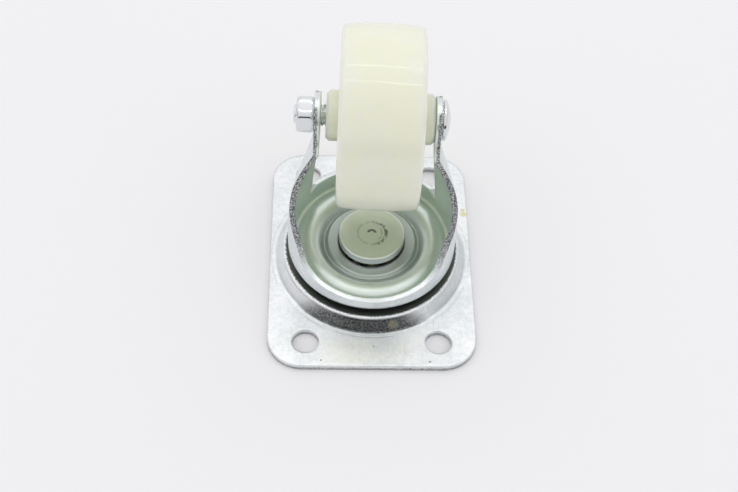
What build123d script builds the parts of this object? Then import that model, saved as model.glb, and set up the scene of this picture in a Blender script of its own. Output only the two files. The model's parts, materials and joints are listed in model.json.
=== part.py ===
"""A swivel plate castor with a white nylon wheel, standing upside down on its plate."""
import os
from math import cos, pi, radians, sin, tan

from build123d import *

# ---- driving sizes, all in millimetres and degrees ----
# mounting plate
plate_width = 48.0
plate_length = 63.0
plate_sheet = 1.6
plate_corner = 8.0
hole_radius = 3.05
hole_pitch_x = 30.4
hole_pitch_y = 49.8
dome_overhang = 1.1
dome_slope_run = 1.8
dome_foot_blend = 1.0
dome_lip_width = 2.8
dome_lip_height = 5.0
dome_floor_height = 3.4
dome_floor_run = 1.3
dome_floor_bend = 2.1
dome_lip_bend = 0.8
dome_edge_bend = 0.9
dome_foot_bend = 0.6

# balls
upper_ball_radius = 2.0
lower_ball_radius = 1.5
ball_clearance = 0.1
ball_spacing = 0.15

# king pin
pin_radius = 4.0
pin_race_gap = 0.35
pin_head_radius = 7.75
pin_head_thickness = 1.9
pin_head_edge = 0.3
pin_foot_radius = 6.4
pin_foot_lift = 0.3
pin_foot_chamfer = 0.5
pin_clearance = 0.05

# fork's cup
fork_sheet = 1.2
cup_floor_gap = 0.4
recess_gap = 0.2
recess_bend = 0.9
ring_height = 7.35
ring_width = 2.8
ring_inner_bend = 0.5
ring_outer_bend = 0.4
valley_depth = 0.89
valley_bend = 0.3
flank_angle = 50.0
race_to_wall = 5.1
wall_bend = 0.6
cup_wall_height = 13.0
rim_front_height = 9.6
rim_back_height = 11.7
fork_hole_clearance = 0.7
tight_bend = 0.2

# fork's legs
leg_sheet = 1.3
leg_end_radius = 5.3
leg_flat_margin = 0.4
leg_foot_back = 10.8
notch_width = 2.2
notch_depth = 1.2
cut_margin = 1.0
axle_height = 39.4
axle_trail = 9.7
rest_swivel = -2.3

# axle bolt and nut
bolt_radius = 2.5
bolt_hole_clearance = 0.1
bolt_head_radius = 4.6
bolt_head_rim = 1.0
bolt_head_dome = 1.1
bolt_head_edge = 0.2
bolt_end_proud = 0.6
bolt_end_chamfer = 0.6
nut_across_flats = 8.0
nut_thickness = 4.0
nut_face_chamfer = 0.1
nut_cone_depth = 0.5
nut_turn = 9.0

# wheel
wheel_radius = 20.75
wheel_width = 18.4
wheel_crown = 0.5
wheel_shoulder = 1.2
hub_radius = 5.7
hub_length = 24.1
hub_chamfer = 0.7
hub_play = 0.7
hub_side_gap = 0.1
web_depth = 2.0
web_inner_radius = 8.4
web_outer_radius = 17.2
web_draft = 0.3
bore_clearance = 0.05

# ---- sizes that follow ----
upper_ball_height = dome_floor_height + ball_clearance + upper_ball_radius
lower_floor_height = dome_floor_height + cup_floor_gap + fork_sheet
lower_ball_height = lower_floor_height + ball_clearance + lower_ball_radius
pin_head_base = lower_ball_height + lower_ball_radius + ball_clearance

# the races and the cup follow from the pin outwards
flank_slope = tan(radians(flank_angle))
ridge_radius = upper_ball_radius + ball_clearance + fork_sheet
ridge_apex = upper_ball_height + ridge_radius / cos(radians(flank_angle))
valley_height = ring_height - valley_depth
lower_race_radius = pin_radius + pin_race_gap + lower_ball_radius
recess_wall = lower_race_radius + lower_ball_radius + recess_gap
ring_radius = recess_wall + ring_width
valley_radius = ring_radius + valley_depth / flank_slope
upper_race_radius = valley_radius + (ridge_apex - valley_height) / flank_slope
cup_radius = upper_race_radius + race_to_wall
wall_inside = cup_radius - fork_sheet
wall_foot = ridge_apex - (wall_inside - upper_race_radius) * flank_slope

# the plate's dome reaches past the cup
dome_top_radius = cup_radius + dome_overhang
dome_foot_radius = dome_top_radius + dome_slope_run
dome_edge = dome_foot_radius + dome_foot_blend

# the legs stand clear of the hub's ends
leg_inside = hub_length / 2 + hub_play
leg_outside = leg_inside + leg_sheet
leg_joggle = cup_radius - leg_outside
leg_front = axle_trail - leg_end_radius
leg_back = axle_trail + leg_end_radius
flat_base = axle_height - bolt_head_radius - leg_flat_margin
wheel_shift = hub_play - hub_side_gap

# the fork stands turned on its pin by the rest angle
across = Vector(cos(radians(rest_swivel)), sin(radians(rest_swivel)), 0)
along = Vector(-sin(radians(rest_swivel)), cos(radians(rest_swivel)), 0)
axle_centre = along * axle_trail + Vector(0, 0, axle_height)
axle_line = Axis(axle_centre, across)
fork_middle = Plane(origin=(0, 0, 0), x_dir=along, z_dir=across)
axle_section = Plane(origin=axle_centre, x_dir=across, z_dir=-along)


def level(height):
    """A level plane turned with the fork, its X across the legs and its Y along the trail."""
    return Plane(origin=(0, 0, height), x_dir=across, z_dir=(0, 0, 1))


def across_plane(distance):
    """A plane square to the axle, at a distance along it, with its X along the trail."""
    return Plane(origin=axle_centre + across * distance, x_dir=along, z_dir=across)


def sheet_section(corners, radii, sheet):
    """Closed section of bent sheet: the corners of its upper side, their bend radii, its thickness."""
    upper = [Vector(*corner) for corner in corners]
    runs = [(end - start).normalized() for start, end in zip(upper, upper[1:])]
    normals = [Vector(run.Y, -run.X) for run in runs]
    lower = [upper[0] + normals[0] * sheet]
    lower_radii = []
    for corner, before, after, run, radius in zip(upper[1:], normals, normals[1:], runs, radii):
        lower.append(corner + (before + after) * (sheet / (1 + before.dot(after))))
        bends_up = run.dot(after) > 0
        lower_radii.append(radius + sheet if bends_up else max(radius - sheet, tight_bend))
    lower.append(upper[-1] + normals[-1] * sheet)
    with BuildSketch(Plane.XZ) as section:
        with BuildLine():
            FilletPolyline(*upper, radius=radii)
            FilletPolyline(*lower, radius=lower_radii)
            Line(upper[0], lower[0])
            Line(upper[-1], lower[-1])
        make_face()
    return section.sketch


# ---- mounting plate: a flat sheet with a pressed dome that carries the upper ball race ----
dome_section = sheet_section(
    [
        (pin_radius + pin_clearance, dome_floor_height),
        (upper_race_radius + dome_floor_run, dome_floor_height),
        (dome_top_radius - dome_lip_width, dome_lip_height),
        (dome_top_radius, dome_lip_height),
        (dome_foot_radius, plate_sheet),
        (dome_edge, plate_sheet),
    ],
    [dome_floor_bend, dome_lip_bend, dome_edge_bend, dome_foot_bend],
    plate_sheet,
)
with BuildPart() as top_plate:
    with BuildSketch(Plane.XY):
        RectangleRounded(plate_width, plate_length, plate_corner)
        Circle(dome_edge, mode=Mode.SUBTRACT)
        with GridLocations(hole_pitch_x, hole_pitch_y, 2, 2):
            Circle(hole_radius, mode=Mode.SUBTRACT)
    extrude(amount=plate_sheet)
    add(dome_section)
    revolve(axis=Axis.Z)
top_plate.part.label = "top_plate"


# ---- king pin: riveted under the plate, its flat head holds the fork and the lower balls ----
pin_foot_top = dome_floor_height - plate_sheet
with BuildPart() as king_pin:
    with BuildSketch(Plane.XY.offset(pin_foot_lift)):
        Circle(pin_foot_radius)
    extrude(amount=pin_foot_top - pin_foot_lift)
    chamfer(king_pin.edges().group_by(Axis.Z)[0], pin_foot_chamfer)
    with BuildSketch(Plane.XY.offset(pin_foot_top)):
        Circle(pin_radius)
    extrude(amount=pin_head_base - pin_foot_top)
    with BuildSketch(Plane.XY.offset(pin_head_base)):
        Circle(pin_head_radius)
    extrude(amount=pin_head_thickness)
    fillet(king_pin.edges().group_by(Axis.Z)[-1], pin_head_edge)
king_pin.part.label = "king_pin"

# ---- fork: a drawn cup over the balls with two joggled legs, blanked and formed in one piece ----
cup_section = sheet_section(
    [
        (pin_radius + fork_hole_clearance, lower_floor_height),
        (recess_wall, lower_floor_height),
        (recess_wall, ring_height),
        (ring_radius, ring_height),
        (valley_radius, valley_height),
        (upper_race_radius, ridge_apex),
        (wall_inside, wall_foot),
        (wall_inside, cup_wall_height),
    ],
    [recess_bend, ring_inner_bend, ring_outer_bend, valley_bend, ridge_radius, wall_bend],
    fork_sheet,
)


def on_cup(turn):
    """The point of the cup's outside at an angle from the axle's direction."""
    return (cup_radius * cos(radians(turn)), cup_radius * sin(radians(turn)))


def on_leg(joggle_share, trail_share):
    """A point of the leg's outer face: its share of the joggle outwards and of the trail back."""
    return (leg_outside + joggle_share * leg_joggle, trail_share * leg_back)


def leg_level(rise_share, front, middle, back):
    """Section of a leg at a share of the rise to its flat: an arc of sheet through three outer points."""
    outer = ThreePointArc(front, middle, back, mode=Mode.PRIVATE)
    centre = outer.arc_center
    inner = [spot + (centre - spot).normalized() * leg_sheet for spot in (outer @ 0, outer @ 0.5, outer @ 1)]
    with BuildSketch(Plane.XY) as section:
        with BuildLine():
            ThreePointArc(front, middle, back)
            ThreePointArc(*inner)
            Line(outer @ 0, inner[0])
            Line(outer @ 1, inner[2])
        make_face()
    return level(cup_wall_height + rise_share * (flat_base - cup_wall_height)) * section.sketch


# from the cup's wall, round its side, the sheet goes over to a flat leg square to the axle
flat_front, flat_back = -0.067, 1.04
leg_sections = [
    leg_level(0, on_cup(-47.4), on_cup(0), on_cup(39.8)),
    leg_level(0.28, on_cup(-28.8), on_leg(0.93, 0.08), on_leg(0.08, 0.907)),
    leg_level(0.56, on_leg(0.858, -0.413), on_leg(0.717, 0.2), on_leg(0, 0.973)),
    leg_level(0.794, on_leg(0.646, -0.227), on_leg(0.363, 0.32), on_leg(0, 1.013)),
    leg_level(1, on_leg(0, flat_front), on_leg(0.0035, 0.467), on_leg(0, flat_back)),
]
with BuildPart() as leg_form:
    for section in leg_sections:
        add(section)
    loft()
    with BuildSketch(level(flat_base)):
        with Locations((leg_outside - leg_sheet / 2, (flat_front + flat_back) / 2 * leg_back)):
            Rectangle(leg_sheet, (flat_back - flat_front) * leg_back)
    extrude(amount=axle_height + leg_end_radius + cut_margin - flat_base)
    mirror(about=fork_middle)


def on_edge(run_share, rise_share):
    """A point of the front edge: shares of the way from the cup's front rim to the leg at the axle."""
    run = leg_front + cup_radius
    rise = axle_height - rim_front_height
    return (run_share * run - cup_radius, rim_front_height + rise_share * rise)


# the blank's edge seen from the side: front rim, leg, round end, notch and back rim
blank_reach = cup_radius + cut_margin
with BuildPart() as blank:
    with BuildSketch(fork_middle):
        with BuildLine():
            rim = Spline(
                (-blank_reach, rim_front_height),
                on_edge(0.1, 0.0235),
                on_edge(0.241, 0.06),
                on_edge(0.407, 0.168),
                on_edge(0.552, 0.3255),
                on_edge(0.68, 0.517),
                on_edge(0.78, 0.685),
                on_edge(0.896, 0.832),
                on_edge(1, 1),
                tangents=((1, 0), (0.12, 1)),
            )
            ThreePointArc(rim @ 1, (axle_trail, axle_height + leg_end_radius), (leg_back, axle_height))
            Polyline(
                (leg_back, axle_height),
                (leg_foot_back, rim_back_height - notch_depth),
                (leg_foot_back + notch_width, rim_back_height),
                (blank_reach, rim_back_height),
                (blank_reach, 0),
                (-blank_reach, 0),
                (-blank_reach, rim_front_height),
            )
        make_face()
        with Locations((axle_trail, axle_height)):
            Circle(bolt_radius + bolt_hole_clearance, mode=Mode.SUBTRACT)
    extrude(amount=blank_reach, both=True)

with BuildPart() as fork:
    add(cup_section)
    revolve(axis=Axis.Z)
    add(leg_form)
    add(blank, mode=Mode.INTERSECT)
fork.part.label = "fork"

# ---- axle bolt through the legs, its head on one side and its nut on the other ----
head_face = leg_outside + bolt_head_rim
bolt_end = -(leg_outside + nut_thickness + bolt_end_proud)
crown_share = 0.76
with BuildPart() as axle_bolt:
    with BuildSketch(axle_section):
        with BuildLine():
            head_crown = ThreePointArc(
                (head_face + bolt_head_dome, 0),
                (head_face + bolt_head_dome * crown_share, bolt_head_radius / 2),
                (head_face, bolt_head_radius),
            )
            Polyline(
                head_crown @ 1,
                (leg_outside + bolt_head_edge, bolt_head_radius),
                (leg_outside, bolt_head_radius - bolt_head_edge),
                (leg_outside, bolt_radius),
                (bolt_end + bolt_end_chamfer, bolt_radius),
                (bolt_end, bolt_radius - bolt_end_chamfer),
                (bolt_end, 0),
                head_crown @ 0,
            )
        make_face()
    revolve(axis=axle_line)
axle_bolt.part.label = "axle_bolt"

# the nut's corners are rounded off by a cone at each end
nut_corner = nut_across_flats / 2 / cos(radians(30))
nut_outside = -(leg_outside + nut_thickness)
with BuildPart() as nut_turning:
    with BuildSketch(axle_section):
        with BuildLine():
            Polyline(
                (nut_outside, 0),
                (nut_outside, nut_across_flats / 2 - nut_face_chamfer),
                (nut_outside + nut_cone_depth, nut_corner),
                (-leg_outside - nut_cone_depth, nut_corner),
                (-leg_outside, nut_across_flats / 2 - nut_face_chamfer),
                (-leg_outside, 0),
                close=True,
            )
        make_face()
    revolve(axis=axle_line)
with BuildPart() as axle_nut:
    with BuildSketch(across_plane(nut_outside)):
        RegularPolygon(nut_across_flats / 2, 6, major_radius=False, rotation=nut_turn)
        Circle(bolt_radius + pin_clearance, mode=Mode.SUBTRACT)
    extrude(amount=nut_thickness)
    add(nut_turning, mode=Mode.INTERSECT)
axle_nut.part.label = "axle_nut"

# ---- wheel: one moulding with a crowned tread, a web sunk in each side and a long hub ----
half_width = wheel_width / 2
half_hub = hub_length / 2
rim_edge_radius = wheel_radius - wheel_crown
with BuildPart() as wheel:
    with BuildSketch(axle_section) as wheel_profile:
        with BuildLine():
            Polyline(
                (wheel_shift - half_width, rim_edge_radius),
                (wheel_shift - half_width, bolt_radius + bore_clearance),
                (wheel_shift + half_width, bolt_radius + bore_clearance),
                (wheel_shift + half_width, rim_edge_radius),
            )
            ThreePointArc(
                (wheel_shift + half_width, rim_edge_radius),
                (wheel_shift, wheel_radius),
                (wheel_shift - half_width, rim_edge_radius),
            )
        make_face()
        fillet(wheel_profile.vertices().sort_by(Axis.Y)[-2:], wheel_shoulder)
    revolve(axis=axle_line)
    with BuildSketch(axle_section):
        for side in (-1, 1):
            with BuildLine():
                Polyline(
                    (wheel_shift + side * (half_width + cut_margin), web_inner_radius - web_draft),
                    (wheel_shift + side * (half_width - web_depth), web_inner_radius),
                    (wheel_shift + side * (half_width - web_depth), web_outer_radius),
                    (wheel_shift + side * (half_width + cut_margin), web_outer_radius + web_draft),
                    close=True,
                )
            make_face()
    revolve(axis=axle_line, mode=Mode.SUBTRACT)
    with BuildSketch(axle_section):
        for side in (-1, 1):
            with BuildLine():
                Polyline(
                    (wheel_shift + side * (half_width - web_depth), bolt_radius + bore_clearance),
                    (wheel_shift + side * half_hub, bolt_radius + bore_clearance),
                    (wheel_shift + side * half_hub, hub_radius - hub_chamfer),
                    (wheel_shift + side * (half_hub - hub_chamfer), hub_radius),
                    (wheel_shift + side * (half_width - web_depth), hub_radius),
                    close=True,
                )
            make_face()
    revolve(axis=axle_line)
wheel.part.label = "wheel"

# ---- the two rings of balls ----
def ball_ring(ring_name, race_radius, ball_radius, height):
    """Balls side by side round a race, each a piece of its own, numbered from the front."""
    count = int(2 * pi * race_radius / (2 * ball_radius + ball_spacing))
    balls = []
    for number, place in enumerate(PolarLocations(race_radius, count, start_angle=-90), start=1):
        with BuildPart(Plane.XY.offset(height)) as ball:
            with Locations(place):
                Sphere(ball_radius)
        ball.part.label = f"{ring_name}_{number:02d}"
        balls.append(ball)
    return balls


upper_balls = ball_ring("upper_ball", upper_race_radius, upper_ball_radius, upper_ball_height)
lower_balls = ball_ring("lower_ball", lower_race_radius, lower_ball_radius, lower_ball_height)

# ---- one STEP file for each piece ----
os.makedirs("parts", exist_ok=True)
export_step(top_plate.part, "parts/top_plate.step")
export_step(king_pin.part, "parts/king_pin.step")
export_step(fork.part, "parts/fork.step")
export_step(axle_bolt.part, "parts/axle_bolt.step")
export_step(axle_nut.part, "parts/axle_nut.step")
export_step(wheel.part, "parts/wheel.step")
for ball in upper_balls + lower_balls:
    export_step(ball.part, f"parts/{ball.part.label}.step")
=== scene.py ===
"""Looks for the swivel plate castor: finishes, thread, wheel detail, floor, light and camera."""
import json
import math

import bpy
import numpy as np
from mathutils import Matrix, Vector


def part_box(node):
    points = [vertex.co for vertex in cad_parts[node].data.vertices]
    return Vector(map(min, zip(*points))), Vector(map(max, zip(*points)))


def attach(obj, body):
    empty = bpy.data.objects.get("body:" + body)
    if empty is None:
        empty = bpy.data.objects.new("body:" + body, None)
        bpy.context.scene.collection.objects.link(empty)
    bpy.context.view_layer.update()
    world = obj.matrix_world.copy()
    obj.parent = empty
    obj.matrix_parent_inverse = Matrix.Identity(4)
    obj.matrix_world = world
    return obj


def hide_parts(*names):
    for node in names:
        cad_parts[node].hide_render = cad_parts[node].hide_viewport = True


bl_info = {
    "name": "Swivel plate castor finish",
    "version": (1, 0, 0),
    "blender": (4, 5, 0),
    "location": "3D View > Sidebar > Castor",
    "description": "Builds the looks of a zinc plated swivel castor around its solid model",
    "category": "Object",
}

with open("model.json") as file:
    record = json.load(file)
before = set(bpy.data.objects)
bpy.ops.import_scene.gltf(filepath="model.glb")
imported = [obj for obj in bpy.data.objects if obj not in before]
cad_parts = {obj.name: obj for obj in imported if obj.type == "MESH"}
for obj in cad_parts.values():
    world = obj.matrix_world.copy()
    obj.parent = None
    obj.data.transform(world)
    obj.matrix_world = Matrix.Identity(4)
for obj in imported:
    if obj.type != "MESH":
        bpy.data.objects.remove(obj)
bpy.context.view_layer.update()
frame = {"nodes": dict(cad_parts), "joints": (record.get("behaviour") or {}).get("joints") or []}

MM = 0.001


def joint_named(name):
    """The record's joint of that name."""
    return next(joint for joint in frame["joints"] if joint["name"] == name)


axle_joint = joint_named("wheel_spin")
AXLE = np.array(axle_joint["pos_m"])
ACROSS = np.array(axle_joint["axis"]) / np.linalg.norm(axle_joint["axis"])
UP = np.array((0.0, 0.0, 1.0))
ALONG = np.cross(UP, ACROSS)
FLOOR_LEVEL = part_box("top_plate")[0][2]


def span_across(node):
    """Lowest and highest place of a node along the axle, measured from the axle's centre."""
    mesh = frame["nodes"][node].data
    points = np.empty(len(mesh.vertices) * 3, np.float32)
    mesh.vertices.foreach_get("co", points)
    reach = (points.reshape(-1, 3) - AXLE) @ ACROSS
    return float(reach.min()), float(reach.max())


BOLT_LOW, BOLT_HIGH = span_across("axle_bolt")
NUT_LOW, NUT_HIGH = span_across("axle_nut")
WHEEL_MIDDLE = sum(span_across("wheel")) / 2
CUP_RADIUS = span_across("fork")[1]
LEG_OUTSIDE = -NUT_HIGH

# radii about the swivel axis and heights of the sheet's bends, where a finish changes
CUP_INSIDE = CUP_RADIUS - 1.1 * MM
RING_RADIUS = 10.35 * MM
CUP_FLOOR = 5.5 * MM
LEG_FOOT = 20 * MM
FRONT_RIM = 9.2 * MM
DOME_TOP = CUP_RADIUS + 1.1 * MM
DOME_FOOT = DOME_TOP + 1.8 * MM
RIM_HALF = 9.2 * MM
SKIN = 0.018 * MM


# ---- sizes and colours a user would change ----
class CastorSizes(bpy.types.PropertyGroup):
    """Sizes of the detail that the solids leave out."""

    thread_radius: bpy.props.FloatProperty(
        name="Thread radius", description="Outer radius of the bolt's thread", default=2.5 * MM, unit="LENGTH"
    )
    thread_pitch: bpy.props.FloatProperty(
        name="Thread pitch", description="Distance between two turns", default=0.8 * MM, unit="LENGTH"
    )
    thread_depth: bpy.props.FloatProperty(
        name="Thread depth", description="How deep the groove is", default=0.42 * MM, unit="LENGTH"
    )
    head_radius: bpy.props.FloatProperty(
        name="Head radius", description="Radius of the bolt's head", default=4.6 * MM, unit="LENGTH"
    )
    thread_length: bpy.props.FloatProperty(
        name="Thread length", description="Length of the bolt that is threaded", default=12.0 * MM, unit="LENGTH"
    )
    end_chamfer: bpy.props.FloatProperty(
        name="End chamfer", description="Bevel at the bolt's end", default=0.6 * MM, unit="LENGTH"
    )
    head_rim: bpy.props.FloatProperty(
        name="Head rim", description="Height of the head's straight rim", default=1.0 * MM, unit="LENGTH"
    )
    head_lift: bpy.props.FloatProperty(
        name="Head lift", description="Gap under the head's rim", default=0.3 * MM, unit="LENGTH"
    )
    nut_flats: bpy.props.FloatProperty(
        name="Nut across flats", description="Distance between two flats", default=8.0 * MM, unit="LENGTH"
    )
    nut_turn: bpy.props.FloatProperty(
        name="Nut turn", description="How far the nut is turned from upright flats", default=math.radians(-16.7),
        subtype="ANGLE",
    )
    nut_chamfer: bpy.props.FloatProperty(
        name="Nut chamfer", description="Rounding of the nut's two ends", default=1.3 * MM, unit="LENGTH"
    )
    head_edge: bpy.props.FloatProperty(
        name="Head edge", description="Bevel under the head's rim", default=0.2 * MM, unit="LENGTH"
    )


class CastorColours(bpy.types.PropertyGroup):
    """Colours of the finishes, in linear light."""

    zinc: bpy.props.FloatVectorProperty(
        name="Zinc", description="Bright zinc plating", default=(0.93, 0.938, 0.945), subtype="COLOR", min=0, max=1
    )
    zinc_shade: bpy.props.FloatVectorProperty(
        name="Zinc shade", description="Duller grains of the plating", default=(0.755, 0.785, 0.80), subtype="COLOR",
        min=0, max=1,
    )
    zinc_fork: bpy.props.FloatVectorProperty(
        name="Fork zinc", description="Zinc plating of the fork", default=(0.84, 0.87, 0.88), subtype="COLOR",
        min=0, max=1,
    )
    zinc_fork_shade: bpy.props.FloatVectorProperty(
        name="Fork zinc shade", description="Duller grains of the fork's plating", default=(0.74, 0.77, 0.78),
        subtype="COLOR", min=0, max=1,
    )
    # painted reflection: a green tint that stands for the wheel mirrored inside the cup and between the legs
    painted_wheel_reflection: bpy.props.FloatVectorProperty(
        name="Painted wheel reflection", description="Painted green reflection of the wheel inside the cup", default=(0.78, 0.875, 0.79), subtype="COLOR",
        min=0, max=1,
    )
    nylon: bpy.props.FloatVectorProperty(
        name="Nylon", description="Natural nylon", default=(0.945, 0.943, 0.815), subtype="COLOR", min=0, max=1
    )
    nylon_deep: bpy.props.FloatVectorProperty(
        name="Nylon in depth", description="Nylon where it is thick", default=(0.905, 0.91, 0.735), subtype="COLOR",
        min=0, max=1,
    )
    nylon_hub: bpy.props.FloatVectorProperty(
        name="Nylon of the hub", description="Nylon where light shines into it from both sides",
        default=(0.93, 0.965, 0.67), subtype="COLOR", min=0, max=1,
    )
    floor_seen: bpy.props.FloatVectorProperty(
        name="Floor as seen", description="White table where the camera sees it", default=(0.97, 0.96, 0.975),
        subtype="COLOR", min=0, max=1,
    )
    floor: bpy.props.FloatVectorProperty(
        name="Floor", description="White table", default=(0.90, 0.90, 0.905), subtype="COLOR", min=0, max=1
    )


# ---- shader maths written as expressions ----
class Wire:
    """A number socket that adds Math nodes when it is used in an expression."""

    def __init__(self, tree, socket):
        self.tree = tree
        self.socket = socket

    def _math(self, operation, first, second=None, clamp=False):
        node = self.tree.nodes.new("ShaderNodeMath")
        node.operation = operation
        node.use_clamp = clamp
        for place, value in enumerate((first, second)):
            if isinstance(value, Wire):
                self.tree.links.new(value.socket, node.inputs[place])
            elif value is not None:
                node.inputs[place].default_value = value
        return Wire(self.tree, node.outputs[0])

    def __add__(self, other):
        return self._math("ADD", self, other)

    __radd__ = __add__

    def __sub__(self, other):
        return self._math("SUBTRACT", self, other)

    def __rsub__(self, other):
        return self._math("SUBTRACT", other, self)

    def __mul__(self, other):
        return self._math("MULTIPLY", self, other)

    __rmul__ = __mul__

    def clamped(self):
        return self._math("ADD", self, 0.0, clamp=True)

    def absolute(self):
        return self._math("ABSOLUTE", self)

    def above(self, low, high):
        """0 under low and 1 over high, with a smooth step between them."""
        node = self.tree.nodes.new("ShaderNodeMapRange")
        node.interpolation_type = "SMOOTHSTEP"
        self.tree.links.new(self.socket, node.inputs["Value"])
        node.inputs["From Min"].default_value = low
        node.inputs["From Max"].default_value = high
        return Wire(self.tree, node.outputs["Result"])

    def below(self, low, high):
        """1 under low and 0 over high."""
        return 1 - self.above(low, high)

    def near(self, place, inner, outer):
        """1 within inner of a place and 0 past outer."""
        return (self - place).absolute().below(inner, outer)


class Finish:
    """One material: a Principled shader and the nodes that feed it."""

    def __init__(self, name):
        self.material = bpy.data.materials.new(name)
        self.material.use_nodes = True
        self.tree = self.material.node_tree
        self.tree.nodes.clear()
        self.shader = self.tree.nodes.new("ShaderNodeBsdfPrincipled")
        output = self.tree.nodes.new("ShaderNodeOutputMaterial")
        self.tree.links.new(self.shader.outputs["BSDF"], output.inputs["Surface"])
        self.place = self.node("ShaderNodeTexCoord", output="Object")

    def node(self, kind, settings=None, output=0, **values):
        """Any node: its type, its settings, and values or links of its sockets. Returns one output.

        A socket goes by its name, or by its number after an underline.
        """
        node = self.tree.nodes.new(kind)
        for key, value in (settings or {}).items():
            setattr(node, key, value)
        for key, value in values.items():
            socket = node.inputs[int(key[1:])] if key[0] == "_" else node.inputs[key.replace("_", " ")]
            self.feed(socket, value)
        return node.outputs[output]

    def feed(self, socket, value):
        """Links a wire or an output to a socket, or sets a plain value on it."""
        if isinstance(value, Wire):
            self.tree.links.new(value.socket, socket)
        elif isinstance(value, bpy.types.NodeSocket):
            self.tree.links.new(value, socket)
        else:
            socket.default_value = value

    def moved(self, origin=(0, 0, 0), turn=(0, 0, 0), stretch=(1, 1, 1)):
        """Object coordinates taken from an origin, turned and stretched."""
        shift = self.node("ShaderNodeVectorMath", {"operation": "SUBTRACT"}, _0=self.place, _1=tuple(origin))
        return self.node("ShaderNodeMapping", {"vector_type": "POINT"}, Vector=shift, Rotation=turn, Scale=stretch)

    def along(self, direction, origin=(0, 0, 0)):
        """Distance along a direction from an origin, in metres, as a number."""
        shift = self.node("ShaderNodeVectorMath", {"operation": "SUBTRACT"}, _0=self.place, _1=tuple(origin))
        dot = self.node(
            "ShaderNodeVectorMath", {"operation": "DOT_PRODUCT"}, output="Value", _0=shift, _1=tuple(direction)
        )
        return Wire(self.tree, dot)

    def noise(self, scale, detail=3.0, roughness=0.5, vector=None, distortion=0.0):
        """Noise from 0 to 1 with so many cells in a metre."""
        out = self.node(
            "ShaderNodeTexNoise", output="Fac", Vector=vector or self.place,
            Scale=scale, Detail=detail, Roughness=roughness, Distortion=distortion,
        )
        return Wire(self.tree, out)

    def cells(self, scale):
        """Distance to the nearest of scattered points, so many in a metre."""
        out = self.node("ShaderNodeTexVoronoi", output="Distance", Vector=self.place, Scale=scale)
        return Wire(self.tree, out)

    def mix(self, amount, first, second):
        """A colour between two colours."""
        node = self.tree.nodes.new("ShaderNodeMix")
        node.data_type = "RGBA"
        for socket, value in ((node.inputs[0], amount), (node.inputs[6], first), (node.inputs[7], second)):
            if isinstance(value, tuple) and len(value) == 3:
                value = (*value, 1.0)
            self.feed(socket, value)
        return node.outputs[2]

    def skin(self, height, distance, strength, rounding, samples):
        """A normal bent by a height times a distance, over edges that look rounded."""
        rounded = self.node("ShaderNodeBevel", {"samples": samples}, Radius=rounding)
        return self.node(
            "ShaderNodeBump", output="Normal", Height=height, Distance=distance, Strength=strength, Normal=rounded
        )

    def facing(self, direction):
        """How far the surface faces a direction: 1 towards it and -1 away from it."""
        normal = self.node("ShaderNodeTexCoord", output="Normal")
        dot = self.node(
            "ShaderNodeVectorMath", {"operation": "DOT_PRODUCT"}, output="Value", _0=normal, _1=tuple(direction)
        )
        return Wire(self.tree, dot)

    def set(self, **values):
        """Feeds the Principled shader's sockets."""
        for key, value in values.items():
            if isinstance(value, tuple) and len(value) == 3 and "Color" in key:
                value = (*value, 1.0)
            self.feed(self.shader.inputs[key.replace("_", " ")], value)
        return self.material


def dress(node, material):
    """Puts one material on a CAD node."""
    data = frame["nodes"][node].data
    data.materials.clear()
    data.materials.append(material)


def tint(name):
    """One of the finishes' colours."""
    return tuple(getattr(bpy.context.scene.castor_colours, name))


# ---- finishes ----
def plated(finish, bright, shade, roughness):
    """Bright zinc: fine crystal mottle, soft clouds and hairlines. Gives colour, roughness and height."""
    clouds = finish.noise(75, detail=4, roughness=0.6)
    grain = finish.noise(2300, detail=2, roughness=0.65)
    flecks = finish.noise(900, detail=2, roughness=0.7)
    hairs = finish.noise(2200, vector=finish.moved(turn=(0, 0, 0.7), stretch=(1, 0.04, 1))).above(0.66, 0.74)
    cross = finish.noise(1800, vector=finish.moved(turn=(0, 0, -0.9), stretch=(1, 0.03, 1))).above(0.70, 0.76)
    darkened = (clouds * 0.45 + grain * 0.25 + flecks * 0.3).above(0.40, 0.62)
    colour = finish.mix(darkened, bright, shade)
    colour = finish.mix((hairs + cross).clamped() * 0.35, colour, tuple(value * 0.72 for value in shade))
    specks = finish.cells(260).below(0.02, 0.07) * finish.noise(120, detail=1).above(0.52, 0.60)
    colour = finish.mix(specks * 0.8, colour, (0.17, 0.16, 0.14))
    rough = roughness + darkened * 0.08 + grain * 0.05 + hairs * 0.08
    height = grain * 0.5 + flecks * 0.5 + clouds * 0.6 - (hairs + cross) * 0.3 - specks
    return colour, rough, height


def sheared(finish, mask, lying, colour, rough, height):
    """Skin of a sheared edge over a plated finish: torn and dark where it stands, the darkness partly painted shade,
    with painted glints; left bright where it lies flat, a painted highlight.
    """
    tear = finish.noise(3300, detail=3, roughness=0.75)
    painted_glint = finish.noise(4200, detail=2).above(0.52, 0.60)
    torn = finish.mix(tear.above(0.40, 0.60), (0.07, 0.07, 0.08), (0.38, 0.39, 0.41))
    torn = finish.mix(painted_glint, torn, (0.86, 0.87, 0.88))
    dark = mask * (1 - (lying + (tear - 0.5) * 1.6 * lying * (1 - lying)).clamped())
    return (
        finish.mix(dark, colour, torn),
        rough + dark * (0.14 + tear * 0.2),
        height + mask * (1 - lying * 0.7) * (tear * 4 + painted_glint * 2),
    )


def spot(finish, place_mm, size_mm, ragged=0.5):
    """1 inside a ragged round spot at a place, and 0 outside."""
    place, size = tuple(value * MM for value in place_mm), size_mm * MM
    shift = finish.node("ShaderNodeVectorMath", {"operation": "SUBTRACT"}, _0=finish.place, _1=place)
    away = Wire(finish.tree, finish.node("ShaderNodeVectorMath", {"operation": "LENGTH"}, output="Value", _0=shift))
    wobble = (finish.noise(1.2 / size, detail=3) - 0.5) * (ragged * 2 * size)
    return (away + wobble).below(size * 0.55, size)


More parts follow.
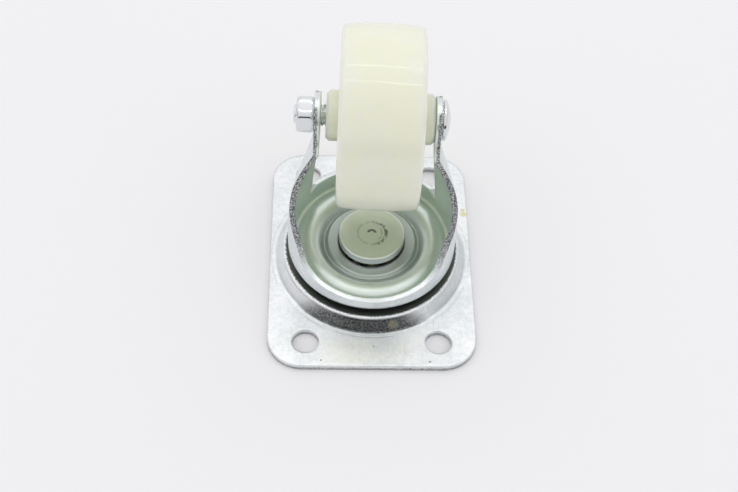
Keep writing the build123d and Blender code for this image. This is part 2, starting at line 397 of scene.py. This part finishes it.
def radius_of(finish):
    """Distance from the swivel axis."""
    flat = finish.node("ShaderNodeVectorMath", {"operation": "MULTIPLY"}, _0=finish.place, _1=(1, 1, 0))
    return Wire(finish.tree, finish.node("ShaderNodeVectorMath", {"operation": "LENGTH"}, output="Value", _0=flat))


def plate_finish():
    """Zinc plated sheet with torn edges: a coined line, a painted dark reflection on the front of the dome's slope,
    painted shade on the dome's top under the cup, a painted yellow highlight that is partly a stain, stains, rust
    and pits.
    """
    finish = Finish("zinc_plate")
    colour, rough, height = plated(finish, tint("zinc"), tint("zinc_shade"), 0.27)
    radius = radius_of(finish)
    up = finish.along(UP)
    upright = finish.facing(UP).absolute().below(0.3, 0.6)
    torn = upright * radius.above(22.8 * MM, 23.2 * MM) * up.below(0.6 * MM, 1.1 * MM)
    colour, rough, height = sheared(finish, torn * 0.8, up * 0, colour, rough, height)

    coined = radius.near(23.7 * MM, 0.08 * MM, 0.22 * MM) * finish.noise(160).above(0.40, 0.5)
    height = height - coined * 2
    colour = finish.mix(coined * 0.35, colour, (0.55, 0.56, 0.58))

    stain = spot(finish, (23.1, 12.8, 1.6), 1.0) + spot(finish, (23.0, 14.1, 1.6), 0.7)
    colour = finish.mix((stain * 0.75).clamped(), colour, (0.70, 0.64, 0.28))
    rust = spot(finish, (8.6, -31.6, 0.7), 0.4)
    colour = finish.mix(rust, colour, (0.46, 0.20, 0.06))
    pits = spot(finish, (13.1, -30.2, 1.6), 0.35) + spot(finish, (-11.6, -30.0, 1.6), 0.3)
    colour = finish.mix(pits.clamped() * 0.8, colour, (0.22, 0.22, 0.20))

    grain = finish.noise(2400, detail=2, roughness=0.7).above(0.35, 0.65)
    # painted reflection: the front of the dome's slope is painted near black, grainy at its edge, as the dark open
    # front of the tent mirrored in it
    front = finish.along((-0.12, -1, 0)).above(DOME_TOP * 0.76, DOME_TOP * 0.95)
    slope = radius.above(DOME_TOP - 0.2 * MM, DOME_TOP + 0.3 * MM) * radius.below(DOME_FOOT, DOME_FOOT + 0.5 * MM)
    darkened = slope * front
    colour = finish.mix(darkened * (0.74 + grain * 0.24), colour, (0.06, 0.062, 0.06))
    # painted shade: the dome's top under the cup's rim is painted near black, as the shade under the cup
    beside_cup = (radius + grain * (0.3 * MM)).below(DOME_TOP - 0.6 * MM, DOME_TOP - 0.1 * MM)
    painted_shade_under_cup = beside_cup * up.above(2.5 * MM, 3.2 * MM)
    colour = finish.mix(painted_shade_under_cup * 0.92, colour, (0.035, 0.04, 0.025))
    # painted yellow highlight on the dome's slope, partly a yellow stain
    yellow_stain_and_highlight = spot(finish, (4.8, -21.1, 3.0), 1.6, ragged=0.3) * slope * grain
    colour = finish.mix(yellow_stain_and_highlight * 0.4, colour, (0.92, 0.88, 0.55))
    return finish.set(
        Base_Color=colour, Roughness=rough - darkened * 0.12 + painted_shade_under_cup * 0.15, Metallic=1 - rust * 0.8,
        Normal=finish.skin(height, SKIN, 0.6, rounding=0.6 * MM, samples=6),
    )


def fork_finish():
    """Zinc plated fork: a painted green reflection of the wheel inside, painted shade round the rivet, and torn dark
    edges that are partly painted shade, left bright where they face up as a painted highlight.
    """
    finish = Finish("zinc_fork")
    colour, rough, height = plated(finish, tint("zinc_fork"), tint("zinc_fork_shade"), 0.17)
    out = finish.along(ACROSS).absolute()
    up = finish.along(UP)
    radius = radius_of(finish)

    # painted reflection: inside the cup and between the legs the zinc is tinted green, as the wheel mirrored in it
    in_cup = radius.below(CUP_INSIDE, CUP_INSIDE + 0.5 * MM) * up.above(CUP_FLOOR, CUP_FLOOR + 1 * MM)
    under_legs = up.below(LEG_FOOT, LEG_FOOT + 4 * MM)
    between_legs = out.below(LEG_OUTSIDE - 1.1 * MM, LEG_OUTSIDE - 0.8 * MM) * (1 - under_legs)
    inside = (in_cup * under_legs + between_legs).clamped()
    colour = finish.mix(inside * 0.75, colour, tint("painted_wheel_reflection"))
    # painted shade: the cup's floor round the rivet is painted dark grey
    painted_shade_ring = radius.below(RING_RADIUS + 0.6 * MM, RING_RADIUS + 3 * MM) * up.above(CUP_FLOOR, CUP_FLOOR + 1 * MM)
    colour = finish.mix(painted_shade_ring * 0.75, colour, (0.44, 0.49, 0.46))

    square = finish.facing(ACROSS).absolute().below(0.08, 0.2)
    lying = finish.facing(UP)
    off_middle = out.above(5 * MM, 7.5 * MM)
    cut = square * up.above(FRONT_RIM, FRONT_RIM + 0.2 * MM) * (off_middle + lying.above(0.5, 0.8)).clamped()
    burnished = out.below(LEG_OUTSIDE - 0.85 * MM, LEG_OUTSIDE - 0.6 * MM) * up.above(24 * MM, 29 * MM)
    high = up.above(15 * MM, 21 * MM)
    # painted highlight: cut edges that face up stay bright as if lit from above; only the standing ones get the dark
    # torn colour, which is partly painted shade
    flat = lying.above(0.55, 0.88) * (1 - high) + lying.above(0.85, 0.93) * high
    colour, rough, height = sheared(finish, cut, (flat + burnished).clamped(), colour, rough, height)
    return finish.set(
        Base_Color=colour, Roughness=rough + inside * 0.17, Metallic=1.0,
        Normal=finish.skin(height * (1 - inside * 0.6), SKIN, 0.6, rounding=0.4 * MM, samples=6),
    )


def nylon_finish():
    """Natural nylon: milky, faintly green, with soft flow clouds and a glossy moulded skin."""
    finish = Finish("nylon")
    clouds = finish.noise(55, detail=3)
    skin = finish.noise(1500, detail=2)
    base = finish.mix(clouds.above(0.3, 0.7), tint("nylon"), tint("nylon_deep"))
    out = (finish.along(ACROSS, AXLE) - WHEEL_MIDDLE).absolute()
    base = finish.mix(out.above(RIM_HALF - 0.2 * MM, RIM_HALF + 0.6 * MM) * 0.9, base, tint("nylon_hub"))
    return finish.set(
        Base_Color=base, Roughness=0.30 + skin * 0.08,
        Normal=finish.skin(skin + clouds, 0.01 * MM, 0.3, rounding=0.3 * MM, samples=4),
        Subsurface_Weight=0.85, Subsurface_Radius=(1.0, 0.95, 0.6), Subsurface_Scale=7 * MM, IOR=1.5,
        Coat_Weight=0.55, Coat_Roughness=0.07,
    )


def pin_finish():
    """Zinc plated rivet head: turned rings and broken arcs from the riveting tool round a small centre mark."""
    finish = Finish("pin_steel")
    radius = radius_of(finish)
    grain = finish.noise(2600, detail=2)
    turned_at = finish.node("ShaderNodeCombineXYZ", X=radius + finish.noise(300) * (0.3 * MM))
    sweep = finish.noise(2600, vector=turned_at)
    side = finish.along(ACROSS).above(-0.5 * MM, 3.5 * MM)
    broken = finish.noise(900, detail=3, roughness=0.7).above(0.40, 0.52)
    ragged = radius + (finish.noise(1300, detail=3) - 0.5) * (0.5 * MM)
    outer = ragged.near(3.4 * MM, 0.16 * MM, 0.55 * MM) * broken * (0.2 + side * 0.8)
    inner = radius.near(2.4 * MM, 0.08 * MM, 0.25 * MM) * broken * side * 0.6
    centre = radius.near(0.85 * MM, 0.16 * MM, 0.42 * MM) * finish.along(ALONG).above(0, 0.3 * MM)
    top = finish.facing(UP).above(0.5, 0.8)
    marks = ((outer + inner + centre) * top).clamped()
    # painted reflection: the top face is tinted green as the wheel above it mirrored in it, while the rim keeps a
    # plain grey
    face = finish.mix(sweep.above(0.35, 0.65), (0.94, 0.985, 0.91), (0.85, 0.91, 0.815))
    base = finish.mix(top, (0.84, 0.86, 0.88), face)
    base = finish.mix(marks * 0.85, base, (0.12, 0.12, 0.09))
    height = sweep * 0.4 - marks * 2 + grain * 0.4
    return finish.set(
        Base_Color=base, Roughness=0.32 + sweep * 0.08, Metallic=1.0,
        Normal=finish.skin(height, 0.02 * MM, 0.6, rounding=0.2 * MM, samples=4),
    )


def bolt_steel():
    """The fasteners' steel, made once."""
    return bpy.data.materials.get("bolt_steel") or bolt_finish()


def bolt_finish():
    """Bright plated fastener steel, with painted shade and a painted green reflection of the hub where the thread
    shows between leg and hub.
    """
    finish = Finish("bolt_steel")
    grain = finish.noise(2200, detail=2)
    base = finish.mix(finish.noise(300), (0.80, 0.82, 0.84), (0.70, 0.72, 0.74))
    # painted shade and a painted green reflection of the hub on the thread between leg and hub
    between = finish.along(ACROSS, AXLE).absolute().below(LEG_OUTSIDE - 1.6 * MM, LEG_OUTSIDE - 1.2 * MM)
    base = finish.mix(between * 0.8, base, (0.40, 0.45, 0.40))
    return finish.set(
        Base_Color=base, Roughness=0.13 + grain * 0.08, Metallic=1.0,
        Normal=finish.skin(grain, 0.01 * MM, 0.4, rounding=0.3 * MM, samples=6),
    )


def ball_finish():
    """Polished hard steel under a film of olive grease."""
    finish = Finish("ball_steel")
    film = finish.noise(900).above(0.4, 0.6)
    base = finish.mix(film, (0.50, 0.51, 0.53), (0.22, 0.21, 0.10))
    return finish.set(Base_Color=base, Roughness=0.12 + film * 0.2, Metallic=1 - film * 0.5)


# ---- operators: one for each piece or group of like pieces ----
class CASTOR_OT_plate(bpy.types.Operator):
    """Finishes the mounting plate in bright zinc."""

    bl_idname = "castor.plate"
    bl_label = "Mounting plate"

    def execute(self, context):
        dress("top_plate", plate_finish())
        return {"FINISHED"}


class CASTOR_OT_fork(bpy.types.Operator):
    """Finishes the fork in bright zinc."""

    bl_idname = "castor.fork"
    bl_label = "Fork"

    def execute(self, context):
        dress("fork", fork_finish())
        return {"FINISHED"}


class CASTOR_OT_pin(bpy.types.Operator):
    """Finishes the king pin."""

    bl_idname = "castor.pin"
    bl_label = "King pin"

    def execute(self, context):
        dress("king_pin", pin_finish())
        return {"FINISHED"}


def sheet_of_points(name, points, groups):
    """A mesh object from an array of points and arrays of faces."""
    faces = [face for group in groups for face in group.tolist()]
    mesh = bpy.data.meshes.new(name)
    mesh.from_pydata(points.tolist(), [], faces)
    mesh.update()
    thing = bpy.data.objects.new(name, mesh)
    bpy.context.scene.collection.objects.link(thing)
    return thing


def round_angles(count):
    """Angles once round, each a spoke of a turned body."""
    return np.arange(count) * (2 * math.pi / count)


def turned(name, reach, radius):
    """A closed turned body about the axle.

    The point at profile place i and angle a is
    axle centre + reach[i] along the axle + radius[i, a] * (cos a up + sin a along the trail),
    and each end is closed by one point on the axle.
    """
    turns = radius.shape[1]
    angle = round_angles(turns)
    spoke = np.cos(angle)[:, None] * UP + np.sin(angle)[:, None] * ALONG
    rings = AXLE + reach[:, None, None] * ACROSS + radius[:, :, None] * spoke[None, :, :]
    poles = AXLE + np.array([reach[0], reach[-1]])[:, None] * ACROSS
    points = np.concatenate((rings.reshape(-1, 3), poles))
    count = len(reach)
    row, column = np.meshgrid(np.arange(count - 1), np.arange(turns), indexing="ij")
    after = (column + 1) % turns
    quads = np.stack(
        (row * turns + column, row * turns + after, (row + 1) * turns + after, (row + 1) * turns + column), axis=-1
    ).reshape(-1, 4)
    edge = np.arange(turns)
    beyond = (edge + 1) % turns
    first, last = count * turns, count * turns + 1
    low_cap = np.stack((beyond, edge, np.full(turns, first)), axis=-1)
    high_cap = np.stack((edge + (count - 1) * turns, beyond + (count - 1) * turns, np.full(turns, last)), axis=-1)
    thing = sheet_of_points(name, points, (quads, low_cap, high_cap))
    thing.data.polygons.foreach_set("use_smooth", np.ones(len(thing.data.polygons), bool))
    thing.data.set_sharp_from_angle(angle=math.radians(38))
    return thing


class CASTOR_OT_bolt(bpy.types.Operator):
    """Builds the axle bolt with its rolled thread and low domed head."""

    bl_idname = "castor.bolt"
    bl_label = "Axle bolt"

    def execute(self, context):
        size = context.scene.castor_sizes
        end, head, edge = BOLT_LOW, BOLT_HIGH, size.head_edge
        head_face = LEG_OUTSIDE + size.head_rim
        thread_end = BOLT_LOW + size.thread_length
        shank = np.arange(end + size.end_chamfer, thread_end, size.thread_pitch / 14)
        crown_turn = np.linspace(0, 1, 14)[1:]
        crown_rise = head - head_face
        dome_radius = (size.head_radius**2 + crown_rise**2) / (2 * crown_rise)
        crown_radius = (size.head_radius - edge * 0.3) * np.cos(crown_turn * math.pi / 2)
        crown_reach = head - dome_radius + np.sqrt(dome_radius**2 - crown_radius**2)
        under = LEG_OUTSIDE + size.head_lift
        corners = np.array([
            (LEG_OUTSIDE, size.thread_radius),
            (LEG_OUTSIDE, size.head_radius * 0.72),
            (under, size.head_radius * 0.74),
            (under, size.head_radius - edge),
            (under + edge * 0.3, size.head_radius - edge * 0.3),
            (under + edge, size.head_radius),
            (head_face - edge * 0.6, size.head_radius),
            (head_face - edge * 0.2, size.head_radius - edge * 0.15),
        ])
        reach = np.concatenate(((end,), shank, corners[:, 0], crown_reach[:-1]))
        smooth = np.concatenate((
            (size.thread_radius - size.end_chamfer,), np.full(len(shank), size.thread_radius), corners[:, 1],
            crown_radius[:-1],
        ))
        # the groove: a rounded V that winds once a pitch, and runs out at both ends of the thread
        angle = round_angles(96)
        phase = (reach[:, None] / size.thread_pitch - angle[None, :] / (2 * math.pi)) % 1.0
        valley = np.clip(1.15 - np.abs(phase - 0.5) * 2.6, 0, 1)
        run_in = np.clip((reach - end) / size.end_chamfer, 0, 1)
        run_out = np.clip((thread_end - reach) / (2 * size.thread_pitch), 0, 1)
        depth = size.thread_depth * (run_in * run_out)[:, None] * valley
        bolt = turned("axle_bolt_threaded", reach, smooth[:, None] - depth)
        bolt.data.materials.append(bolt_steel())
        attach(bolt, "fork")
        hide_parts("axle_bolt")
        return {"FINISHED"}


class CASTOR_OT_nut(bpy.types.Operator):
    """Builds the nut: a hexagon with rounded corners and domed ends."""

    bl_idname = "castor.nut"
    bl_label = "Axle nut"

    def execute(self, context):
        size = context.scene.castor_sizes
        flat = size.nut_flats / 2
        step = np.linspace(0, math.pi / 2, 9)
        rise = size.nut_chamfer * (1 - np.cos(step))
        bore = size.thread_radius - 0.2 * MM
        end_radius, dome_reach = flat * 0.86, 0.95 * MM
        low, high = NUT_LOW, NUT_HIGH
        waist = np.linspace(low + rise[-1], high - rise[-1], 5)[1:-1]
        reach = np.concatenate(((low,), low + rise, waist, (high - rise)[::-1], (high,)))
        # one side of the hexagon is flat / |cos|, and a high power blends the three pairs into rounded corners;
        # the ends are a quarter of an ellipse, blended in the same way
        angle = round_angles(144)
        sides = np.abs(np.cos(angle[None, :] - size.nut_turn - np.arange(3)[:, None] * math.pi / 3))
        corner, end = 26, 24
        hexagon = flat / (sides**corner).sum(axis=0) ** (1 / corner)
        near = np.minimum(reach - low, high - reach) / size.nut_chamfer
        dome = end_radius + dome_reach * np.sqrt(1 - (1 - np.clip(near, 0, 1)) ** 2)
        radius = (hexagon[None, :] ** -end + dome[:, None] ** -end) ** (-1 / end)
        radius[0] = radius[-1] = bore
        nut = turned("axle_nut_domed", reach, radius)
        nut.data.materials.append(bolt_steel())
        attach(nut, "fork")
        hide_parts("axle_nut")
        return {"FINISHED"}


class CASTOR_OT_balls(bpy.types.Operator):
    """Finishes the two rings of balls."""

    bl_idname = "castor.balls"
    bl_label = "Balls"

    def execute(self, context):
        steel = ball_finish()
        for name in frame["nodes"]:
            if "_ball_" in name:
                dress(name, steel)
        return {"FINISHED"}


class CASTOR_OT_wheel(bpy.types.Operator):
    """Finishes the wheel in natural nylon."""

    bl_idname = "castor.wheel"
    bl_label = "Wheel"

    def execute(self, context):
        dress("wheel", nylon_finish())
        return {"FINISHED"}


class CASTOR_OT_stage(bpy.types.Operator):
    """Lays the white table, and sets the light and the camera."""

    bl_idname = "castor.stage"
    bl_label = "Floor, light and camera"

    def execute(self, context):
        floor_reach = 3.0
        below_plate = FLOOR_LEVEL - 0.05 * MM
        corners = np.array([(-1, -1, 0), (1, -1, 0), (1, 1, 0), (-1, 1, 0)]) * floor_reach
        floor = sheet_of_points("floor", corners + (0, 0, below_plate), (np.array([(0, 1, 2, 3)]),))
        finish = Finish("white_table")
        tone = finish.noise(3.0, detail=1)
        lit, seen_white = tint("floor"), tint("floor_seen")
        paper = finish.mix(tone, lit, tuple(value * 0.985 for value in lit))
        white = finish.mix(tone, seen_white, tuple(value * 0.99 for value in seen_white))
        seen = Wire(finish.tree, finish.node("ShaderNodeLightPath", output="Is Camera Ray"))
        beyond = finish.along((0, -1, 0)).above(0.5, 1.2) * (1 - seen)
        paper = finish.mix(seen, finish.mix(beyond, paper, (0.05, 0.05, 0.05)), white)
        finish.set(Base_Color=paper, Roughness=0.85, Specular_IOR_Level=0.1)
        floor.data.materials.append(finish.material)
        self.surroundings()
        for distance in (0.325, -0.005):
            self.tube((0.025, distance, 0.9))
        self.camera()
        bpy.context.scene.view_settings.view_transform = "Standard"
        return {"FINISHED"}

    def surroundings(self):
        """A white tent, darker where it is open at the front and at both sides, and plain white to the camera."""
        world = bpy.data.worlds.new("tent")
        bpy.context.scene.world = world
        world.use_nodes = True
        tree = world.node_tree
        tent = tree.nodes["Background"]
        direction = tree.nodes.new("ShaderNodeTexCoord").outputs["Generated"]

        def towards(way):
            dot = tree.nodes.new("ShaderNodeVectorMath")
            dot.operation = "DOT_PRODUCT"
            tree.links.new(direction, dot.inputs[0])
            dot.inputs[1].default_value = way
            return Wire(tree, dot.outputs["Value"])

        opening = towards((0.0, -1.0, 0.0)).above(0.70, 0.88) * (1 - towards((0, 0, 1)).above(0.22, 0.34))
        sides = towards((1, 0, 0)).absolute().above(0.84, 0.95) * (1 - towards((0, 0, 1)).above(0.16, 0.32))
        back = towards((0.0, 0.50, 0.866)).above(0.2, 0.98)
        above = towards((0.0, 0.40, 0.917)).above(0.95, 1.0)
        level = (0.83 + back * 0.10 + above * 0.15) * (1 - opening * 0.94) * (1 - sides * 0.8)
        seen = Wire(tree, tree.nodes.new("ShaderNodeLightPath").outputs["Is Camera Ray"])
        strength = level * (1 - seen) + seen
        tree.links.new(strength.socket, tent.inputs["Strength"])
        tent.inputs["Color"].default_value = (0.985, 0.99, 1.0, 1)

    def tube(self, place):
        """A ceiling tube lamp, turned a little, that draws a thin line on what is glossy."""
        light = bpy.data.lights.new("tube", "AREA")
        light.shape = "RECTANGLE"
        light.size = 0.7
        light.size_y = 0.014
        light.energy = 0.30
        lamp = bpy.data.objects.new("tube", light)
        lamp.location = place
        lamp.rotation_euler = (0, 0, math.radians(-7.6))
        bpy.context.scene.collection.objects.link(lamp)

    def camera(self):
        """A long lens from the front, looking down at the standing castor."""
        pitch, yaw, roll = math.radians(52.153), math.radians(-2.834), math.radians(2.914)
        forward = Vector((-math.sin(yaw) * math.cos(pitch), math.cos(yaw) * math.cos(pitch), -math.sin(pitch)))
        right = Vector((math.cos(yaw), math.sin(yaw), 0))
        up = right.cross(forward)
        right, up = (
            right * math.cos(roll) + up * math.sin(roll),
            up * math.cos(roll) - right * math.sin(roll),
        )
        lens = bpy.data.cameras.new("camera")
        lens.sensor_width = 36
        lens.lens = 63.94
        lens.shift_x = 0.0127
        lens.shift_y = -0.0116
        lens.clip_start = 0.01
        lens.clip_end = 50
        camera = bpy.data.objects.new("camera", lens)
        turned = Matrix((right, up, -forward)).transposed().to_4x4()
        camera.matrix_world = Matrix.Translation((-0.01219, -0.18968, 0.25273)) @ turned
        bpy.context.scene.collection.objects.link(camera)
        bpy.context.scene.camera = camera


class CASTOR_PT_panel(bpy.types.Panel):
    """The castor's pieces, in the 3D view's sidebar."""

    bl_idname = "CASTOR_PT_panel"
    bl_label = "Castor"
    bl_space_type = "VIEW_3D"
    bl_region_type = "UI"
    bl_category = "Castor"

    def draw(self, context):
        for operator in OPERATORS:
            self.layout.operator(operator.bl_idname)
        for group in (context.scene.castor_sizes, context.scene.castor_colours):
            for name in group.__annotations__:
                self.layout.prop(group, name)


OPERATORS = (
    CASTOR_OT_plate,
    CASTOR_OT_fork,
    CASTOR_OT_pin,
    CASTOR_OT_bolt,
    CASTOR_OT_nut,
    CASTOR_OT_balls,
    CASTOR_OT_wheel,
    CASTOR_OT_stage,
)
CLASSES = (CastorSizes, CastorColours, *OPERATORS, CASTOR_PT_panel)


def register():
    for cls in CLASSES:
        bpy.utils.register_class(cls)
    bpy.types.Scene.castor_sizes = bpy.props.PointerProperty(type=CastorSizes)
    bpy.types.Scene.castor_colours = bpy.props.PointerProperty(type=CastorColours)


def unregister():
    del bpy.types.Scene.castor_colours
    del bpy.types.Scene.castor_sizes
    for cls in reversed(CLASSES):
        bpy.utils.unregister_class(cls)


def main():
    register()
    for operator in OPERATORS:
        section, action = operator.bl_idname.split(".")
        getattr(getattr(bpy.ops, section), action)()


if __name__ == "__main__":
    main()
